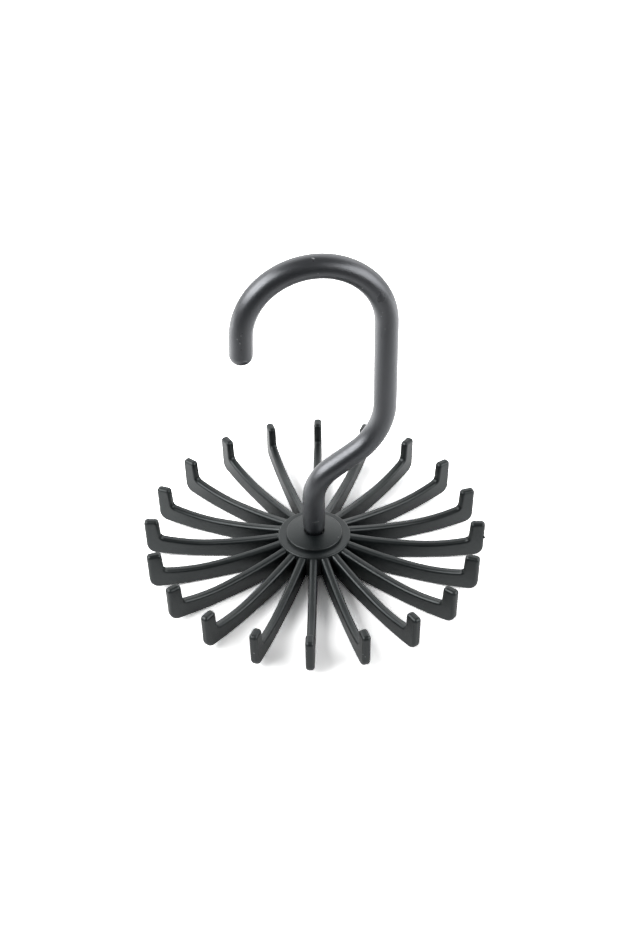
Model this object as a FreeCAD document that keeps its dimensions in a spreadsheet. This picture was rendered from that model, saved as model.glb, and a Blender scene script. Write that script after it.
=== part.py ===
"""Revolving tie hanger: a closet hook whose pin snaps into a hub with tie arms all round it.

The origin is on the swivel axis at table height, +Z runs up that axis and the hook lies in the XZ plane.
"""
import FreeCAD, Part
import math
import os

import Sketcher

SHEET = "Dims"
TOLERANCE = 1e-4

# Driving dimensions in millimetres and degrees: alias, value, meaning
DIMENSIONS = [
    ("arm_count", 20, "tie arms round the hub"),
    ("arm_azimuth", 6, "azimuth of the first arm, from +X"),
    ("arm_width", 2.7, "thickness of a rib and its finger"),
    ("arm_round", 1.0, "rounding of an arm's long edges"),
    ("root_radius", 9.5, "inner end of a rib before it is trimmed to the hub"),
    ("root_bottom", 2.0, "underside of a rib at its inner end"),
    ("root_top", 9.4, "top of a rib at its inner end"),
    ("foot_inner", 28.5, "inner end of the flat that stands on the table"),
    ("foot_outer", 33.5, "outer end of the flat that stands on the table"),
    ("sag_radius", 33.0, "where the rib's top edge turns from the long sweep to the short one"),
    ("sag_height", 6.05, "height of the rib's top edge there"),
    ("sweep_radius", 150, "radius of the long sweep of the rib's top edge"),
    ("crook_radius", 50.15, "foot of the finger's inner face, from the swivel axis"),
    ("crook_height", 7.8, "height of that foot"),
    ("crook_round", 1.5, "rounding inside the crook of rib and finger"),
    ("finger_inner", 50.7, "top of the finger's inner face, from the swivel axis"),
    ("finger_outer", 55.35, "top of the finger's outer face, from the swivel axis"),
    ("finger_top", 14.75, "height of the finger's tip"),
    ("finger_round", 1.2, "rounding of the finger's tip"),
    ("heel_radius", 55.05, "foot of the finger's outer face, from the swivel axis"),
    ("heel_height", 1.8, "height of that foot"),
    ("heel_round", 3.4, "rounding of the heel under the finger"),
    ("hub_radius", 11.8, "outside of the hub"),
    ("hub_bottom", 1.2, "lower edge of the hub's skirt"),
    ("rim_top", 9.35, "top of the hub's rim"),
    ("rim_round", 0.5, "rounding of the rim and of the skirt's lower edge"),
    ("disc_radius", 9.1, "raised disc in the middle of the hub"),
    ("disc_top", 10.4, "top of the raised disc at its edge"),
    ("dome_top", 11.3, "top of the domed disc at the mouth of the bore"),
    ("disc_round", 0.4, "rounding of the raised disc"),
    ("skirt_inner", 9.4, "inside of the hub's skirt"),
    ("plate_under", 7.0, "underside of the hub's top plate"),
    ("boss_radius", 5.2, "bearing boss under the hub's top plate"),
    ("boss_bottom", 4.3, "lower face of the bearing boss"),
    ("bore_radius", 2.45, "bore for the hook's pin"),
    ("socket_radius", 3.12, "wider mouth of the bore"),
    ("socket_floor", 9.7, "floor of the wider mouth"),
    ("socket_round", 0.4, "rounding of the mouth"),
    ("rod_radius", 3.62, "half the thickness of the hook's rod"),
    ("pin_radius", 2.4, "pin in the bore"),
    ("pin_bottom", 1.4, "lower end of the snap prongs"),
    ("prong_radius", 2.1, "lower end of the snap prongs' cone"),
    ("barb_radius", 3.1, "widest part of the snap prongs"),
    ("barb_height", 3.4, "where the prongs' cone reaches its full width"),
    ("catch_height", 4.1, "catch face of the prongs, just under the boss"),
    ("slot_width", 1.4, "slot between the prongs"),
    ("slot_top", 7.4, "upper end of the slot"),
    ("neck_radius", 2.6, "collar that stands in the mouth of the bore"),
    ("neck_bottom", 9.9, "lower face of the collar"),
    ("shoulder_bottom", 11.2, "where the rounded shoulder starts"),
    ("shoulder_top", 14.0, "where the rod reaches its full thickness"),
    ("neck_top", 24.45, "end of the rod's upright run on the swivel axis"),
    ("lower_bend", 14.0, "centre-line radius of the bend out of the upright run"),
    ("diagonal_angle", 35.2, "slope of the diagonal run above the table"),
    ("upper_bend", 22.0, "centre-line radius of the bend into the side run"),
    ("side_offset", 22.8, "side run from the swivel axis"),
    ("crown_height", 88.75, "centre height of the hook's half circle"),
    ("crown_radius", 21.75, "centre-line radius of the hook's half circle"),
    ("tip_angle", -92, "direction of the hook's free end, from +X"),
    ("tip_height", 80.2, "lower end of the hook's free end"),
    ("tip_round", 3.2, "rounding of the free end"),
]

doc = FreeCAD.newDocument("tie_hanger")


def make_sheet():
    """Write the driving dimensions into the sheet, one row each."""
    table = doc.addObject("Spreadsheet::Sheet", SHEET)
    for row, (alias, value, meaning) in enumerate(DIMENSIONS, start=1):
        table.set(f"A{row}", alias)
        table.set(f"B{row}", str(value))
        table.setAlias(f"B{row}", alias)
        table.set(f"C{row}", meaning)
    doc.recompute()
    return table


sheet = make_sheet()


def size(cell):
    """A driving dimension's value; no cell stands for the axis itself."""
    return float(sheet.get(cell)) if cell else 0.0


def bind(target, path, expression):
    """Tie a property to an expression in the sheet's dimensions."""
    target.setExpression(path, expression)


def cell_path(cell):
    return f"{SHEET}.{cell}"


def make_body(label):
    body = doc.addObject("PartDesign::Body", label)
    body.Label = label
    return body


def make_sketch(body, name, role):
    """Start a sketch on one of the body's own origin planes."""
    sketch = body.newObject("Sketcher::SketchObject", name)
    plane = next(feature for feature in body.Origin.OriginFeatures if feature.Role == role)
    sketch.AttachmentSupport = [(plane, "")]
    sketch.MapMode = "FlatFace"
    return sketch


def dimension(sketch, cell, kind, *references, unit=""):
    """Add a driving dimension to a sketch and tie it to a cell."""
    value = math.radians(size(cell)) if kind == "Angle" else size(cell)
    index = sketch.addConstraint(Sketcher.Constraint(kind, *references, value))
    bind(sketch, f"Constraints[{index}]", cell_path(cell) + unit)


def place(sketch, curve, end, across, up):
    """Fix a curve's end at the distances in two cells, or on the axis where there is no cell."""
    for cell, kind, axis in ((across, "DistanceX", -2), (up, "DistanceY", -1)):
        if cell:
            dimension(sketch, cell, kind, -1, 1, curve, end)
        else:
            sketch.addConstraint(Sketcher.Constraint("PointOnObject", curve, end, axis))


def end_at(sketch, curve, point):
    """Which end of a curve lies at a point: 1 for its start, 2 for its end."""
    gaps = [sketch.getPoint(curve, end).distanceToPoint(point) for end in (1, 2)]
    return 1 if gaps[0] < gaps[1] else 2


def draw_outline(sketch, corners, sagging=(), bulging=(), smooth=()):
    """Close a loop through corners given as cells.

    The run after each corner in sagging is an arc that hangs below its chord, and in bulging one that
    stands above it. The runs on both sides of each corner in smooth are tangent. Returns the corner points.
    """
    points = [FreeCAD.Vector(size(across), size(up), 0) for across, up in corners]
    following = points[1:] + points[:1]
    for corner, (start, end) in enumerate(zip(points, following)):
        if corner in sagging or corner in bulging:
            rise = start.distanceToPoint(end) ** 2 / (8 * size("sweep_radius"))
            middle = (start + end) * 0.5 + FreeCAD.Vector(0, rise if corner in bulging else -rise, 0)
            sketch.addGeometry(Part.Arc(start, middle, end))
        else:
            sketch.addGeometry(Part.LineSegment(start, end))
    for corner, point in enumerate(points):
        before = (corner - 1) % len(points)
        ends = (before, end_at(sketch, before, point), corner, end_at(sketch, corner, point))
        sketch.addConstraint(Sketcher.Constraint("Tangent" if corner in smooth else "Coincident", *ends))
        place(sketch, *ends[2:], *corners[corner])
    return points


def add_feature(body, kind, name, sketch):
    feature = body.newObject(f"PartDesign::{kind}", name)
    feature.Profile = sketch
    return feature


def revolve(body, name, sketch):
    """Turn a sketch once round the swivel axis."""
    feature = add_feature(body, "Revolution", name, sketch)
    feature.ReferenceAxis = (sketch, ["V_Axis"])
    feature.Angle = 360
    return feature


def round_edges(body, name, cell, chosen):
    """Round the edges of the body so far that pass a test, by a cell's radius."""
    doc.recompute()
    base = body.Tip
    names = [f"Edge{i}" for i, edge in enumerate(base.Shape.Edges, start=1) if chosen(edge)]
    feature = body.newObject("PartDesign::Fillet", name)
    feature.Base = (base, names)
    bind(feature, "Radius", cell_path(cell))


def circle_at(radius_cell, height_cell):
    """Test for a round edge about the swivel axis at a radius and a height."""
    def test(edge):
        curve = edge.Curve
        return (isinstance(curve, Part.Circle) and abs(curve.Radius - size(radius_cell)) < TOLERANCE
                and abs(curve.Center.z - size(height_cell)) < TOLERANCE)
    return test


def require_smaller(body, volume, what):
    """Stop if a cut took nothing away."""
    doc.recompute()
    if body.Shape.Volume >= volume:
        raise RuntimeError(f"{body.Label}: {what} cuts nothing")


def bend(radius, angle):
    """Step from the vertical along an arc that turns by an angle, in the hook's plane."""
    return FreeCAD.Vector(radius * (1 - math.cos(angle)), radius * math.sin(angle), 0)


def make_hook():
    """The rod bent into a hook, with its shoulder, pin and snap prongs below."""
    body = make_body("hook")

    # Centre line: upright run, diagonal run, side run, half circle and free end
    turn = math.radians(90 - size("diagonal_angle"))
    lower, upper, crown = size("lower_bend"), size("upper_bend"), size("crown_radius")
    side = size("side_offset")
    diagonal = (side - (lower + upper) * (1 - math.cos(turn))) / math.sin(turn)
    foot = FreeCAD.Vector(0, size("shoulder_top"), 0)
    bend_in = FreeCAD.Vector(0, size("neck_top"), 0)
    bend_out = bend_in + bend(lower, turn)
    side_in = bend_out + FreeCAD.Vector(math.sin(turn), math.cos(turn), 0) * diagonal
    side_out = side_in + bend(upper, turn)
    crown_in = FreeCAD.Vector(side, size("crown_height"), 0)
    crown_middle = crown_in + FreeCAD.Vector(-crown, crown, 0)
    lean = math.radians(-90 - size("tip_angle"))
    crown_out = crown_in + bend(crown, lean) - FreeCAD.Vector(2 * crown, 0, 0)
    drop = crown_out.y - size("tip_height")
    free_end = crown_out - FreeCAD.Vector(drop * math.tan(lean), drop, 0)

    path = make_sketch(body, "CentreLine", "XZ_Plane")
    path.addGeometry([
        Part.LineSegment(foot, bend_in),
        Part.Arc(bend_in, bend_in + bend(lower, turn / 2), bend_out),
        Part.LineSegment(bend_out, side_in),
        Part.Arc(side_in, side_out - bend(upper, turn / 2), side_out),
        Part.LineSegment(side_out, crown_in),
        Part.Arc(crown_in, crown_middle, crown_out),
        Part.LineSegment(crown_out, free_end),
    ])
    joins = [bend_in, bend_out, side_in, side_out, crown_in, crown_out]
    for curve, point in enumerate(joins):
        ends = (curve, end_at(path, curve, point), curve + 1, end_at(path, curve + 1, point))
        path.addConstraint(Sketcher.Constraint("Tangent", *ends))
    for curve in (0, 4):
        path.addConstraint(Sketcher.Constraint("Vertical", curve))
    place(path, 0, 1, None, "shoulder_top")
    dimension(path, "neck_top", "DistanceY", -1, 1, 0, 2)
    dimension(path, "lower_bend", "Radius", 1)
    dimension(path, "diagonal_angle", "Angle", 2, unit=" * 1 deg")
    dimension(path, "upper_bend", "Radius", 3)
    place(path, 4, 2, "side_offset", "crown_height")
    dimension(path, "crown_radius", "Radius", 5)
    dimension(path, "tip_angle", "Angle", 6, unit=" * 1 deg")
    dimension(path, "tip_height", "DistanceY", -1, 1, 6, 2)

    section = make_sketch(body, "RodSection", "XY_Plane")
    bind(section, "AttachmentOffset.Base.z", cell_path("shoulder_top"))
    section.addGeometry(Part.Circle(FreeCAD.Vector(), FreeCAD.Vector(0, 0, 1), size("rod_radius")))
    section.addConstraint(Sketcher.Constraint("Coincident", 0, 3, -1, 1))
    dimension(section, "rod_radius", "Radius", 0)
    rod = add_feature(body, "AdditivePipe", "Rod", section)
    rod.Spine = (path, [f"Edge{i}" for i in range(1, path.GeometryCount + 1)])
    tip = FreeCAD.Vector(free_end.x, 0, free_end.y)
    round_edges(body, "FreeEnd", "tip_round", lambda edge: edge.CenterOfMass.distanceToPoint(tip) < TOLERANCE)

    # Shoulder, collar, pin and barb, turned about the swivel axis
    stem = make_sketch(body, "StemProfile", "XZ_Plane")
    shoulder = 7
    points = draw_outline(stem, [
        (None, "pin_bottom"), ("prong_radius", "pin_bottom"), ("barb_radius", "barb_height"),
        ("barb_radius", "catch_height"), ("pin_radius", "catch_height"), ("pin_radius", "neck_bottom"),
        ("neck_radius", "neck_bottom"), ("neck_radius", "shoulder_bottom"),
        ("rod_radius", "shoulder_top"), (None, "shoulder_top"),
    ], sagging={shoulder})
    shoulder_end = end_at(stem, shoulder, points[shoulder + 1])
    stem.addConstraint(Sketcher.Constraint("Horizontal", shoulder, 3, shoulder, shoulder_end))
    revolve(body, "Stem", stem)

    # Slot that lets the two prongs squeeze through the bore
    doc.recompute()
    volume = body.Shape.Volume
    slot = body.newObject("PartDesign::SubtractiveBox", "SnapSlot")
    width, barb = cell_path("slot_width"), cell_path("barb_radius")
    bind(slot, "Length", width)
    bind(slot, "Width", f"2 * {barb}")
    bind(slot, "Height", f"{cell_path('slot_top')} - {cell_path('pin_bottom')}")
    bind(slot, "Placement.Base.x", f"-{width} / 2")
    bind(slot, "Placement.Base.y", f"-{barb}")
    bind(slot, "Placement.Base.z", cell_path("pin_bottom"))
    require_smaller(body, volume, "the slot")
    return body


def make_hub():
    """Cap with a rim, a domed disc, a bearing boss for the pin and a skirt that carries the arms."""
    body = make_body("hub")
    profile = make_sketch(body, "HubProfile", "XZ_Plane")
    dome = 8
    draw_outline(profile, [
        ("bore_radius", "boss_bottom"), ("boss_radius", "boss_bottom"), ("boss_radius", "plate_under"),
        ("skirt_inner", "plate_under"), ("skirt_inner", "hub_bottom"), ("hub_radius", "hub_bottom"),
        ("hub_radius", "rim_top"), ("disc_radius", "rim_top"), ("disc_radius", "disc_top"),
        ("socket_radius", "dome_top"), ("socket_radius", "socket_floor"), ("bore_radius", "socket_floor"),
    ], bulging={dome})
    profile.addConstraint(Sketcher.Constraint("PointOnObject", dome, 3, -2))
    revolve(body, "Cap", profile)
    round_edges(body, "Rim", "rim_round", circle_at("hub_radius", "rim_top"))
    round_edges(body, "SkirtEdge", "rim_round", circle_at("hub_radius", "hub_bottom"))
    round_edges(body, "Disc", "disc_round", circle_at("disc_radius", "disc_top"))
    round_edges(body, "Mouth", "socket_round", circle_at("socket_radius", "dome_top"))
    return body


def cross_edge(across_cell, up_cell):
    """Test for the straight edge that crosses an arm's thickness at one corner of its outline."""
    corner = FreeCAD.Vector(size(across_cell), 0, size(up_cell))
    return lambda edge: edge.CenterOfMass.distanceToPoint(corner) < TOLERANCE


def long_edge(edge):
    """Test for an edge round an arm's flank, apart from the upright one inside the hub."""
    flank = abs(abs(edge.CenterOfMass.y) - size("arm_width") / 2) < TOLERANCE
    flat = edge.BoundBox.YLength < TOLERANCE
    upright_root = edge.BoundBox.XMax < size("root_radius") + TOLERANCE
    return flank and flat and not upright_root


def make_arm(number):
    """One rib with its upturned finger, drawn along +X and turned to its place round the hub."""
    body = make_body(f"arm_{number:02d}")
    side = make_sketch(body, "SideOutline", "XZ_Plane")
    draw_outline(side, [
        ("root_radius", "root_bottom"), ("foot_inner", None), ("foot_outer", None),
        ("heel_radius", "heel_height"), ("finger_outer", "finger_top"), ("finger_inner", "finger_top"),
        ("crook_radius", "crook_height"), ("sag_radius", "sag_height"), ("root_radius", "root_top"),
    ], sagging={0, 2, 6, 7}, smooth={1, 2, 7})
    dimension(side, "sweep_radius", "Radius", 7)
    rib = add_feature(body, "Pad", "Rib", side)
    rib.SideType = "Symmetric"
    bind(rib, "Length", cell_path("arm_width"))

    round_edges(body, "Heel", "heel_round", cross_edge("heel_radius", "heel_height"))
    round_edges(body, "Crook", "crook_round", cross_edge("crook_radius", "crook_height"))
    for name, corner in (("TipOuter", "finger_outer"), ("TipInner", "finger_inner")):
        round_edges(body, name, "finger_round", cross_edge(corner, "finger_top"))
    round_edges(body, "LongEdges", "arm_round", long_edge)

    # The inner end is trimmed to the round wall of the hub
    doc.recompute()
    volume = body.Shape.Volume
    trim = make_sketch(body, "HubWall", "XY_Plane")
    trim.addGeometry(Part.Circle(FreeCAD.Vector(), FreeCAD.Vector(0, 0, 1), size("hub_radius")))
    trim.addConstraint(Sketcher.Constraint("Coincident", 0, 3, -1, 1))
    dimension(trim, "hub_radius", "Radius", 0)
    cut = add_feature(body, "Pocket", "HubTrim", trim)
    cut.Type = "ThroughAll"
    cut.SideType = "Symmetric"
    require_smaller(body, volume, "the trim to the hub")

    body.Placement.Rotation = FreeCAD.Rotation(FreeCAD.Vector(0, 0, 1), size("arm_azimuth"))
    turns = f"{number - 1} * 360 / {cell_path('arm_count')}"
    bind(body, "Placement.Rotation.Angle", f"{cell_path('arm_azimuth')} + {turns}")
    return body


def check(bodies):
    """Stop if any object failed or any sub-part is not one valid solid."""
    for item in doc.Objects:
        if {"Invalid", "Error"} & set(item.State):
            raise RuntimeError(f"{item.Name}: {item.State}")
    for body in bodies:
        shape = body.Shape
        if shape.isNull() or not shape.isValid() or len(shape.Solids) != 1:
            raise RuntimeError(f"{body.Label}: not one valid solid")


sub_parts = [make_hook(), make_hub()]
sub_parts += [make_arm(number) for number in range(1, int(size("arm_count")) + 1)]
doc.recompute()
check(sub_parts)

os.makedirs("parts", exist_ok=True)
for sub_part in sub_parts:
    sub_part.Shape.exportStep(f"parts/{sub_part.Label}.step")
    print(f"{sub_part.Label}: {sub_part.Shape.Volume / 1000:.3f} cm3")
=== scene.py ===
"""Looks of the revolving tie hanger: satin black moulded plastic on a white table, in soft light."""

import math
from collections import namedtuple

import bmesh
import bpy
from mathutils import Matrix, Vector
from mathutils.bvhtree import BVHTree


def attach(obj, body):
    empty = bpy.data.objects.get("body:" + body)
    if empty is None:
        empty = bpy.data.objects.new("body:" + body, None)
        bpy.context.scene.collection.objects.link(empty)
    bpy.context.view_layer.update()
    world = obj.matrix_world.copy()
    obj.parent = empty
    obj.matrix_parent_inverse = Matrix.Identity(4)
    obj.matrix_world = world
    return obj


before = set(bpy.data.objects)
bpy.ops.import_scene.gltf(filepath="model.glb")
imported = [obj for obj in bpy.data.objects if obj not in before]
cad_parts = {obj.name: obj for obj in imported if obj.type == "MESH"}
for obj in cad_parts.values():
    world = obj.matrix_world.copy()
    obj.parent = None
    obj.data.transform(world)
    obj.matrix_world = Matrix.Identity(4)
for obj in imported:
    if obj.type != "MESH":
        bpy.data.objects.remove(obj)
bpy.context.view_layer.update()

MM = 0.001

# The photograph's camera, in pixels, degrees and metres, and Blender's sensor in millimetres
PHOTO_WIDTH = 621
PHOTO_HEIGHT = 931
FOCAL_PIXELS = 1500.65
CAMERA_DISTANCE = 471.41 * MM
CAMERA_ELEVATION = 39.05
CAMERA_TURN = 9.84
CAMERA_ROLL = -1.07
AIM_ACROSS = -0.82 * MM
AIM_HEIGHT = 37.97 * MM
NEAREST_SEEN = 10 * MM
FARTHEST_SEEN = 20.0
SENSOR = 36.0

# Directions seen from the camera: along its view over the table, to its right, and up
turn = math.radians(CAMERA_TURN)
AWAY = Vector((math.sin(turn), math.cos(turn), 0))
RIGHT = Vector((math.cos(turn), -math.sin(turn), 0))
UP = Vector((0, 0, 1))


def direction(azimuth, elevation):
    """A direction from the object, in degrees: azimuth 0 leads away from the camera, 90 to its right."""
    around, lift = math.radians(azimuth), math.radians(elevation)
    return (AWAY * math.cos(around) + RIGHT * math.sin(around)) * math.cos(lift) + UP * math.sin(lift)


def camera_stand():
    """The camera's place, with its axes to the right, up and back."""
    back = direction(180, CAMERA_ELEVATION)
    aim = RIGHT * AIM_ACROSS + UP * AIM_HEIGHT
    upright = Matrix((RIGHT, back.cross(RIGHT), back)).transposed().to_4x4()
    roll = Matrix.Rotation(math.radians(CAMERA_ROLL), 4, "Z")
    return Matrix.Translation(aim + back * CAMERA_DISTANCE) @ upright @ roll


CAMERA = camera_stand()


def make_camera():
    """The camera that took the photograph."""
    data = bpy.data.cameras.new("camera")
    data.sensor_fit = "AUTO"
    data.sensor_width = SENSOR
    data.lens = FOCAL_PIXELS * SENSOR / max(PHOTO_WIDTH, PHOTO_HEIGHT)
    data.clip_start = NEAREST_SEEN
    data.clip_end = FARTHEST_SEEN
    camera = bpy.data.objects.new("camera", data)
    camera.matrix_world = CAMERA
    bpy.context.scene.collection.objects.link(camera)
    bpy.context.scene.camera = camera


def sight(pixel):
    """Direction from the camera through a pixel of the photograph."""
    across = (pixel[0] + 0.5 - PHOTO_WIDTH / 2) / FOCAL_PIXELS
    down = (pixel[1] + 0.5 - PHOTO_HEIGHT / 2) / FOCAL_PIXELS
    return (CAMERA.to_3x3() @ Vector((across, -down, -1))).normalized()


# Materials

NOISE_LOW = 0.3
NOISE_HIGH = 0.7
FLOW_GRAIN = 9 * MM
MOTTLE_GRAIN = 0.8 * MM
SHEEN_GRAIN = 0.6 * MM
SHEEN_RANGE = 0.05
TEXTURE_GRAIN = 0.3 * MM
TEXTURE_DEPTH = 0.04 * MM
TEXTURE_STRENGTH = 0.9


def start_material(name):
    """A new material with an empty node tree, its tree and its output."""
    material = bpy.data.materials.new(name)
    material.use_nodes = True
    tree = material.node_tree
    tree.nodes.clear()
    output = tree.nodes.new("ShaderNodeOutputMaterial")
    return material, tree, output


def add_node(tree, kind, **inputs):
    """Add a node and set its input sockets by name, with underscores for spaces."""
    node = tree.nodes.new(f"ShaderNode{kind}")
    for name, value in inputs.items():
        node.inputs[name.replace("_", " ")].default_value = value
    return node


def noise(tree, place, grain, detail):
    """Noise with features of about a given size in metres."""
    node = add_node(tree, "TexNoise", Scale=1 / grain, Detail=detail)
    tree.links.new(place.outputs["Object"], node.inputs["Vector"])
    return node.outputs["Fac"]


def spread(tree, source, low, high, start=NOISE_LOW, end=NOISE_HIGH):
    """Map a range of a value, by default a noise's middle range, to values from low to high."""
    node = add_node(tree, "MapRange", From_Min=start, From_Max=end, To_Min=low, To_Max=high)
    tree.links.new(source, node.inputs["Value"])
    return node.outputs["Result"]


def mix_colour(tree, factor, first, second):
    """Mix two colours, each a tuple or a socket."""
    node = tree.nodes.new("ShaderNodeMix")
    node.data_type = "RGBA"
    tree.links.new(factor, node.inputs["Factor"])
    for socket, colour in (("A", first), ("B", second)):
        slot = next(s for s in node.inputs if s.name == socket and s.type == "RGBA")
        if isinstance(colour, tuple):
            slot.default_value = (*colour, 1)
        else:
            tree.links.new(colour, slot)
    return next(s for s in node.outputs if s.type == "RGBA")


def calculate(tree, operation, first, second):
    """A Math node on two sockets or numbers."""
    node = add_node(tree, "Math")
    node.operation = operation
    for socket, value in zip(node.inputs, (first, second)):
        if isinstance(value, (int, float)):
            socket.default_value = value
        else:
            tree.links.new(value, socket)
    return node.outputs["Value"]


def moulded_plastic(name, dark, light, rough, ior, tint):
    """Black plastic with a fine moulded grain, faint flow marks and an uneven satin sheen."""
    material, tree, output = start_material(name)
    shader = add_node(tree, "BsdfPrincipled", IOR=ior, Specular_Tint=(*tint, 1))
    tree.links.new(shader.outputs["BSDF"], output.inputs["Surface"])
    place = tree.nodes.new("ShaderNodeTexCoord")

    flow = noise(tree, place, FLOW_GRAIN, detail=3.0)
    mottle = noise(tree, place, MOTTLE_GRAIN, detail=3.0)
    halves = [spread(tree, layer, 0.0, 0.5) for layer in (flow, mottle)]
    tone = calculate(tree, "ADD", *halves)
    tree.links.new(mix_colour(tree, tone, dark, light), shader.inputs["Base Color"])

    cloud = noise(tree, place, SHEEN_GRAIN, detail=4.0)
    sheen = spread(tree, cloud, rough - SHEEN_RANGE, rough + SHEEN_RANGE)
    tree.links.new(sheen, shader.inputs["Roughness"])

    texture = noise(tree, place, TEXTURE_GRAIN, detail=2.0)
    bump = add_node(tree, "Bump", Strength=TEXTURE_STRENGTH, Distance=TEXTURE_DEPTH)
    tree.links.new(texture, bump.inputs["Height"])
    tree.links.new(bump.outputs["Normal"], shader.inputs["Normal"])
    return material


def dress(material, *nodes):
    """Give CAD nodes a material in place of their plain one."""
    for node in nodes:
        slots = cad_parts[node].data.materials
        slots.clear()
        slots.append(material)


# Table, with its white at the front and at the back for each kind of ray: a painted falloff of light,
# darker at the front and paler at the back, strongest in reflections

TABLE_HALF = 20.0
TABLE_DROP = 0.02 * MM
TABLE_COLOUR = (0.8, 0.8, 0.8)
TABLE_WHITE = {
    "Is Glossy Ray": (0.15, 2.1),
    "Is Transmission Ray": (0.15, 2.1),
    "Is Camera Ray": (1.2, 3.3),
}
TABLE_FRONT = -260 * MM
TABLE_BACK = 70 * MM
TABLE_FALLOFF_CURVE = 2.2


def along_view(tree, vector):
    """How far a vector reaches away from the camera over the table."""
    node = add_node(tree, "VectorMath")
    node.operation = "DOT_PRODUCT"
    node.inputs[1].default_value = AWAY
    tree.links.new(vector, node.inputs[0])
    return node.outputs["Value"]


def make_table():
    """A white table with painted light: paler towards its back, darkest at its front in reflections, and
    whiter to the camera than as it lights the object.
    """
    corners = [(-1, -1), (1, -1), (1, 1), (-1, 1)]
    mesh = bpy.data.meshes.new("table")
    mesh.from_pydata([(x * TABLE_HALF, y * TABLE_HALF, 0) for x, y in corners], [], [(0, 1, 2, 3)])
    table = bpy.data.objects.new("table", mesh)
    table.location.z = -TABLE_DROP
    bpy.context.scene.collection.objects.link(table)

    material, tree, output = start_material("white_table")
    path = tree.nodes.new("ShaderNodeLightPath")
    place = tree.nodes.new("ShaderNodeTexCoord")
    away = along_view(tree, place.outputs["Object"])
    depth = spread(tree, away, 0.0, 1.0, TABLE_FRONT, TABLE_BACK)
    # Painted light falloff: the table's colour grows paler from front to back, standing in for the
    # lamps' light that weakens towards the front
    painted_falloff = calculate(tree, "POWER", depth, TABLE_FALLOFF_CURVE)
    colour = TABLE_COLOUR
    for ray, whites in TABLE_WHITE.items():
        front, back = ((white, white, white) for white in whites)
        colour = mix_colour(tree, path.outputs[ray], colour, mix_colour(tree, painted_falloff, front, back))
    paper = tree.nodes.new("ShaderNodeBsdfDiffuse")
    tree.links.new(colour, paper.inputs["Color"])
    tree.links.new(paper.outputs["BSDF"], output.inputs["Surface"])
    mesh.materials.append(material)


# Light: each range is the part of a direction that leads away from the camera, or up

ROOM_LIGHT = 0.1
TOP_LIGHT = 0.25
TOP_RANGE = (0.4, 0.8)
HORIZON_LIGHT = 1.5
HORIZON_FILL = 0.5
HORIZON_AWAY = (0.1, 0.6)
HORIZON_UP = (0.6, 0.95)


def make_softbox(name, azimuth, elevation, distance, width, height, radiance):
    """A soft rectangular light that faces the object."""
    data = bpy.data.lights.new(name, "AREA")
    data.shape = "RECTANGLE"
    data.size = width
    data.size_y = height
    data.energy = radiance * width * height * math.pi
    lamp = bpy.data.objects.new(name, data)
    back = direction(azimuth, elevation)
    lamp.location = back * distance + UP * AIM_HEIGHT
    lamp.rotation_mode = "QUATERNION"
    lamp.rotation_quaternion = back.to_track_quat("Z", "Y")
    bpy.context.scene.collection.objects.link(lamp)


def make_world():
    """Dim surroundings, white to the camera, with a pale backdrop that shows most in reflections."""
    world = bpy.data.worlds.new("studio")
    bpy.context.scene.world = world
    world.use_nodes = True
    tree = world.node_tree
    tree.nodes.clear()
    output = tree.nodes.new("ShaderNodeOutputWorld")
    place = tree.nodes.new("ShaderNodeTexCoord").outputs["Generated"]
    parts = tree.nodes.new("ShaderNodeSeparateXYZ")
    tree.links.new(place, parts.inputs["Vector"])
    upward = parts.outputs["Z"]
    rays = tree.nodes.new("ShaderNodeLightPath").outputs

    behind = spread(tree, along_view(tree, place), 0.0, 1.0, *HORIZON_AWAY)
    low = spread(tree, upward, 1.0, 0.0, *HORIZON_UP)
    backdrop = calculate(tree, "MULTIPLY", behind, low)
    glow = calculate(tree, "MULTIPLY", backdrop, HORIZON_LIGHT)
    mirrored = calculate(tree, "MAXIMUM", rays["Is Glossy Ray"], rays["Is Transmission Ray"])
    share = calculate(tree, "MAXIMUM", mirrored, HORIZON_FILL)
    ceiling = spread(tree, upward, ROOM_LIGHT, TOP_LIGHT, *TOP_RANGE)
    light = calculate(tree, "ADD", calculate(tree, "MULTIPLY", glow, share), ceiling)

    seen = rays["Is Camera Ray"]
    unseen = calculate(tree, "SUBTRACT", 1.0, seen)
    strength = calculate(tree, "ADD", calculate(tree, "MULTIPLY", light, unseen), seen)
    room = add_node(tree, "Background", Color=(1, 1, 1, 1))
    tree.links.new(strength, room.inputs["Strength"])
    tree.links.new(room.outputs["Background"], output.inputs["Surface"])


# Marks that moulding and handling left, with painted light among them, placed by their pixels in the
# photograph; sizes in millimetres

Mark = namedtuple("Mark", "name node pixel length width height slant")

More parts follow.
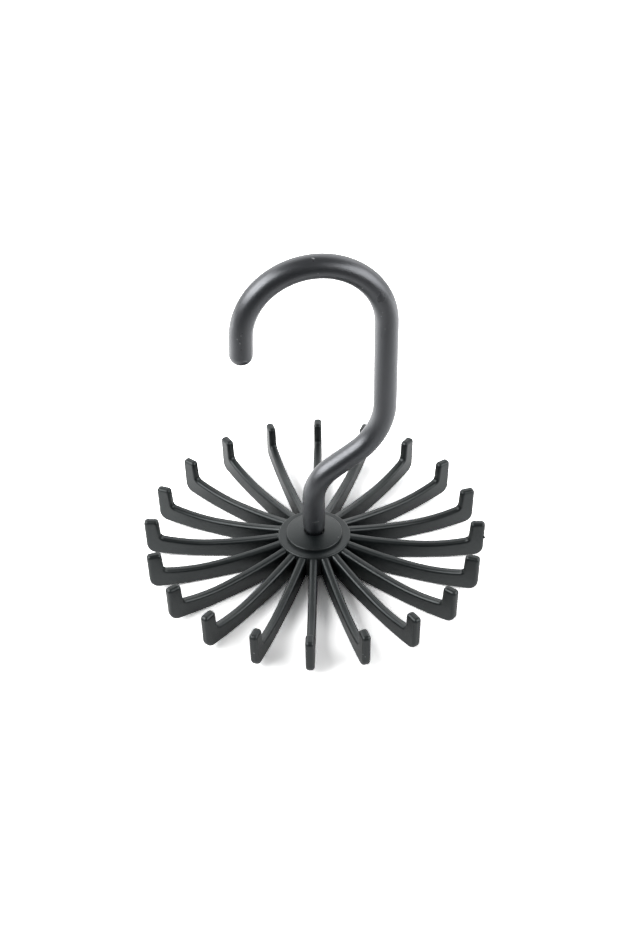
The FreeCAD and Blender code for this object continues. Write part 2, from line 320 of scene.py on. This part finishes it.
FLECKS = [
    Mark("crown_gate_scar", "hook", (312.6, 257.9), 0.95, 0.42, 0.10, 60),
    Mark("bend_speck", "hook", (362.0, 287.7), 0.40, 0.30, 0.05, 20),
]
# Scuffs, mostly real wear; two are painted light: a painted reflection on the neck and a painted
# highlight on the tip's parting line
SCUFFS_AND_PAINTED_GLINTS = [
    Mark("crown_speck_1", "hook", (317.6, 273.0), 0.34, 0.26, 0.04, 0),
    Mark("crown_speck_2", "hook", (319.4, 275.8), 0.30, 0.24, 0.04, 40),
    Mark("side_speck_1", "hook", (382.0, 312.3), 0.28, 0.24, 0.03, 0),
    Mark("side_speck_2", "hook", (380.7, 315.9), 0.34, 0.26, 0.04, 70),
    Mark("side_speck_3", "hook", (384.6, 328.5), 0.30, 0.24, 0.03, 30),
    Mark("tip_speck_1", "hook", (240.5, 335.5), 0.34, 0.26, 0.04, 10),
    Mark("tip_speck_2", "hook", (236.7, 338.9), 0.46, 0.30, 0.05, 50),
    Mark("tip_speck_3", "hook", (239.4, 343.2), 0.40, 0.28, 0.05, 120),
    # Partly real, partly painted highlight: the tip's parting line as a low ridge, coloured pale for the
    # thin highlight along it
    Mark("tip_parting_line_glint", "hook", (245.0, 361.0), 1.50, 0.30, 0.03, 70),
    # Painted reflection: a pale line that stands in for the hub disc's front edge mirrored in the neck
    Mark("neck_disc_reflection", "hook", (315.6, 521.6), 2.60, 0.26, 0.02, 90),
    Mark("disc_speck", "hub", (337.8, 536.5), 0.36, 0.26, 0.04, 30),
    Mark("rib_speck", "arm_17", (363.0, 585.0), 0.40, 0.26, 0.04, 60),
    Mark("finger_scar_1", "arm_14", (253.4, 652.8), 0.70, 0.24, 0.05, 90),
    Mark("finger_scar_2", "arm_16", (362.4, 653.9), 0.40, 0.26, 0.05, 90),
    Mark("finger_scar_3", "arm_16", (364.7, 656.3), 0.36, 0.24, 0.04, 40),
]
# Painted shade: the dents are flat dark patches that stand in for the shade inside small pits
PAINTED_DENT_SHADES = [
    Mark("crown_gate_dent", "hook", (312.6, 260.5), 0.70, 0.44, 0.01, 70),
    Mark("tip_dent_1", "hook", (241.6, 333.2), 0.40, 0.30, 0.01, 0),
    Mark("tip_dent_2", "hook", (238.9, 340.7), 0.50, 0.34, 0.01, 40),
    Mark("tip_dent_3", "hook", (240.6, 349.5), 0.44, 0.34, 0.01, 0),
]
EJECTOR_MARK = Mark("ejector_mark", "hook", (380.8, 298.0), 3.5, 3.1, 0.02, 0)
GATE_NIB = Mark("gate_nib", "arm_20", (483.1, 536.3), 0.90, 0.75, 0.75, 0)
MARK_RINGS = 4
MARK_SECTORS = 16
MARK_DEPTH = 0.06 * MM

# Waves in a mark's outline: how many go round it, how far they reach and where they start
Wave = namedtuple("Wave", "count reach start")
MARK_WAVES = [Wave(3, 0.16, 1), Wave(5, 0.09, 2)]


def surface_of(node):
    """A search tree over a CAD node's surface."""
    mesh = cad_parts[node].data
    return BVHTree.FromPolygons([v.co for v in mesh.vertices], [p.vertices for p in mesh.polygons])


def ragged(around):
    """The uneven outline of a mark: its reach at an angle, about 1."""
    return 1 + sum(wave.reach * math.sin(wave.count * around + wave.start) for wave in MARK_WAVES)


def make_mark(mark, material):
    """A low blister that follows the surface it sits on and is closed below it."""
    surface = surface_of(mark.node)
    spot, normal = surface.ray_cast(CAMERA.translation, sight(mark.pixel))[:2]
    upward = (UP - normal * UP.dot(normal)).normalized()
    along = Matrix.Rotation(math.radians(mark.slant), 3, normal) @ upward
    across = normal.cross(along)

    shell = bmesh.new()

    def lifted(reach, around, height):
        out = reach * ragged(around) / 2 * MM
        ahead = along * (out * mark.length * math.cos(around))
        aside = across * (out * mark.width * math.sin(around))
        foot, facing = surface.find_nearest(spot + ahead + aside)[:2]
        return shell.verts.new(foot + facing * height)

    loops = []
    for ring in range(1, MARK_RINGS + 1):
        reach = ring / MARK_RINGS
        height = mark.height * MM * (1 - reach ** 2)
        loops.append([lifted(reach, math.tau * k / MARK_SECTORS, height) for k in range(MARK_SECTORS)])
    top = lifted(0, 0, mark.height * MM)
    bottom = lifted(0, 0, -MARK_DEPTH)
    for k in range(MARK_SECTORS):
        after = (k + 1) % MARK_SECTORS
        shell.faces.new((top, loops[0][k], loops[0][after]))
        shell.faces.new((bottom, loops[-1][after], loops[-1][k]))
        for inner, outer in zip(loops, loops[1:]):
            shell.faces.new((inner[k], outer[k], outer[after], inner[after]))
    for face in shell.faces:
        face.smooth = True
    mesh = bpy.data.meshes.new(mark.name)
    shell.to_mesh(mesh)
    shell.free()
    mesh.materials.append(material)
    piece = bpy.data.objects.new(mark.name, mesh)
    bpy.context.scene.collection.objects.link(piece)
    body = "hook" if mark.node == "hook" else "spider"
    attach(piece, body)


make_camera()
make_table()
make_world()
make_softbox("left_softbox", azimuth=-106, elevation=37, distance=0.5,
             width=0.50, height=0.32, radiance=5.2)
make_softbox("right_softbox", azimuth=109, elevation=25, distance=0.5,
             width=0.46, height=0.34, radiance=3.2)

# Plastics, each between its darkest and its lightest colour

HOOK_TINT = (0.975, 1.0, 1.05)
SPIDER_TINT = (0.94, 1.0, 1.01)
HOOK_DARK = (0.0045, 0.006, 0.0078)
HOOK_LIGHT = (0.009, 0.0105, 0.0125)

hook_plastic = moulded_plastic(
    "hook_plastic_satin", HOOK_DARK, HOOK_LIGHT, rough=0.33, ior=2.12, tint=HOOK_TINT)
spider_plastic = moulded_plastic(
    "spider_plastic_satin", (0.0018, 0.0034, 0.0037), (0.0062, 0.0084, 0.0089),
    rough=0.35, ior=1.6, tint=SPIDER_TINT)
torn_plastic = moulded_plastic(
    "torn_plastic", (0.26, 0.265, 0.27), (0.44, 0.445, 0.45), rough=0.5, ior=1.5, tint=HOOK_TINT)
# Pale plastic for the scuffs, and for the painted reflection and painted highlight among them
scuff_and_glint_plastic = moulded_plastic(
    "scuff_and_glint_plastic", (0.15, 0.155, 0.16), (0.28, 0.285, 0.29), rough=0.5, ior=1.5, tint=HOOK_TINT)
# Painted shade for the dents: darker and less glossy than the hook
dent_shade_plastic = moulded_plastic(
    "dent_shade_plastic", (0.003, 0.003, 0.0035), (0.008, 0.008, 0.009), rough=0.5, ior=1.7, tint=HOOK_TINT)
ejector_plastic = moulded_plastic(
    "ejector_plastic", HOOK_DARK, HOOK_LIGHT, rough=0.42, ior=1.85, tint=HOOK_TINT)

dress(hook_plastic, "hook")
dress(spider_plastic, *(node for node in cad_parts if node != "hook"))

for marks, plastic in ((FLECKS, torn_plastic), (SCUFFS_AND_PAINTED_GLINTS, scuff_and_glint_plastic), (PAINTED_DENT_SHADES, dent_shade_plastic)):
    for mark in marks:
        make_mark(mark, plastic)
make_mark(EJECTOR_MARK, ejector_plastic)
make_mark(GATE_NIB, spider_plastic)

bpy.context.scene.view_settings.view_transform = "Standard"
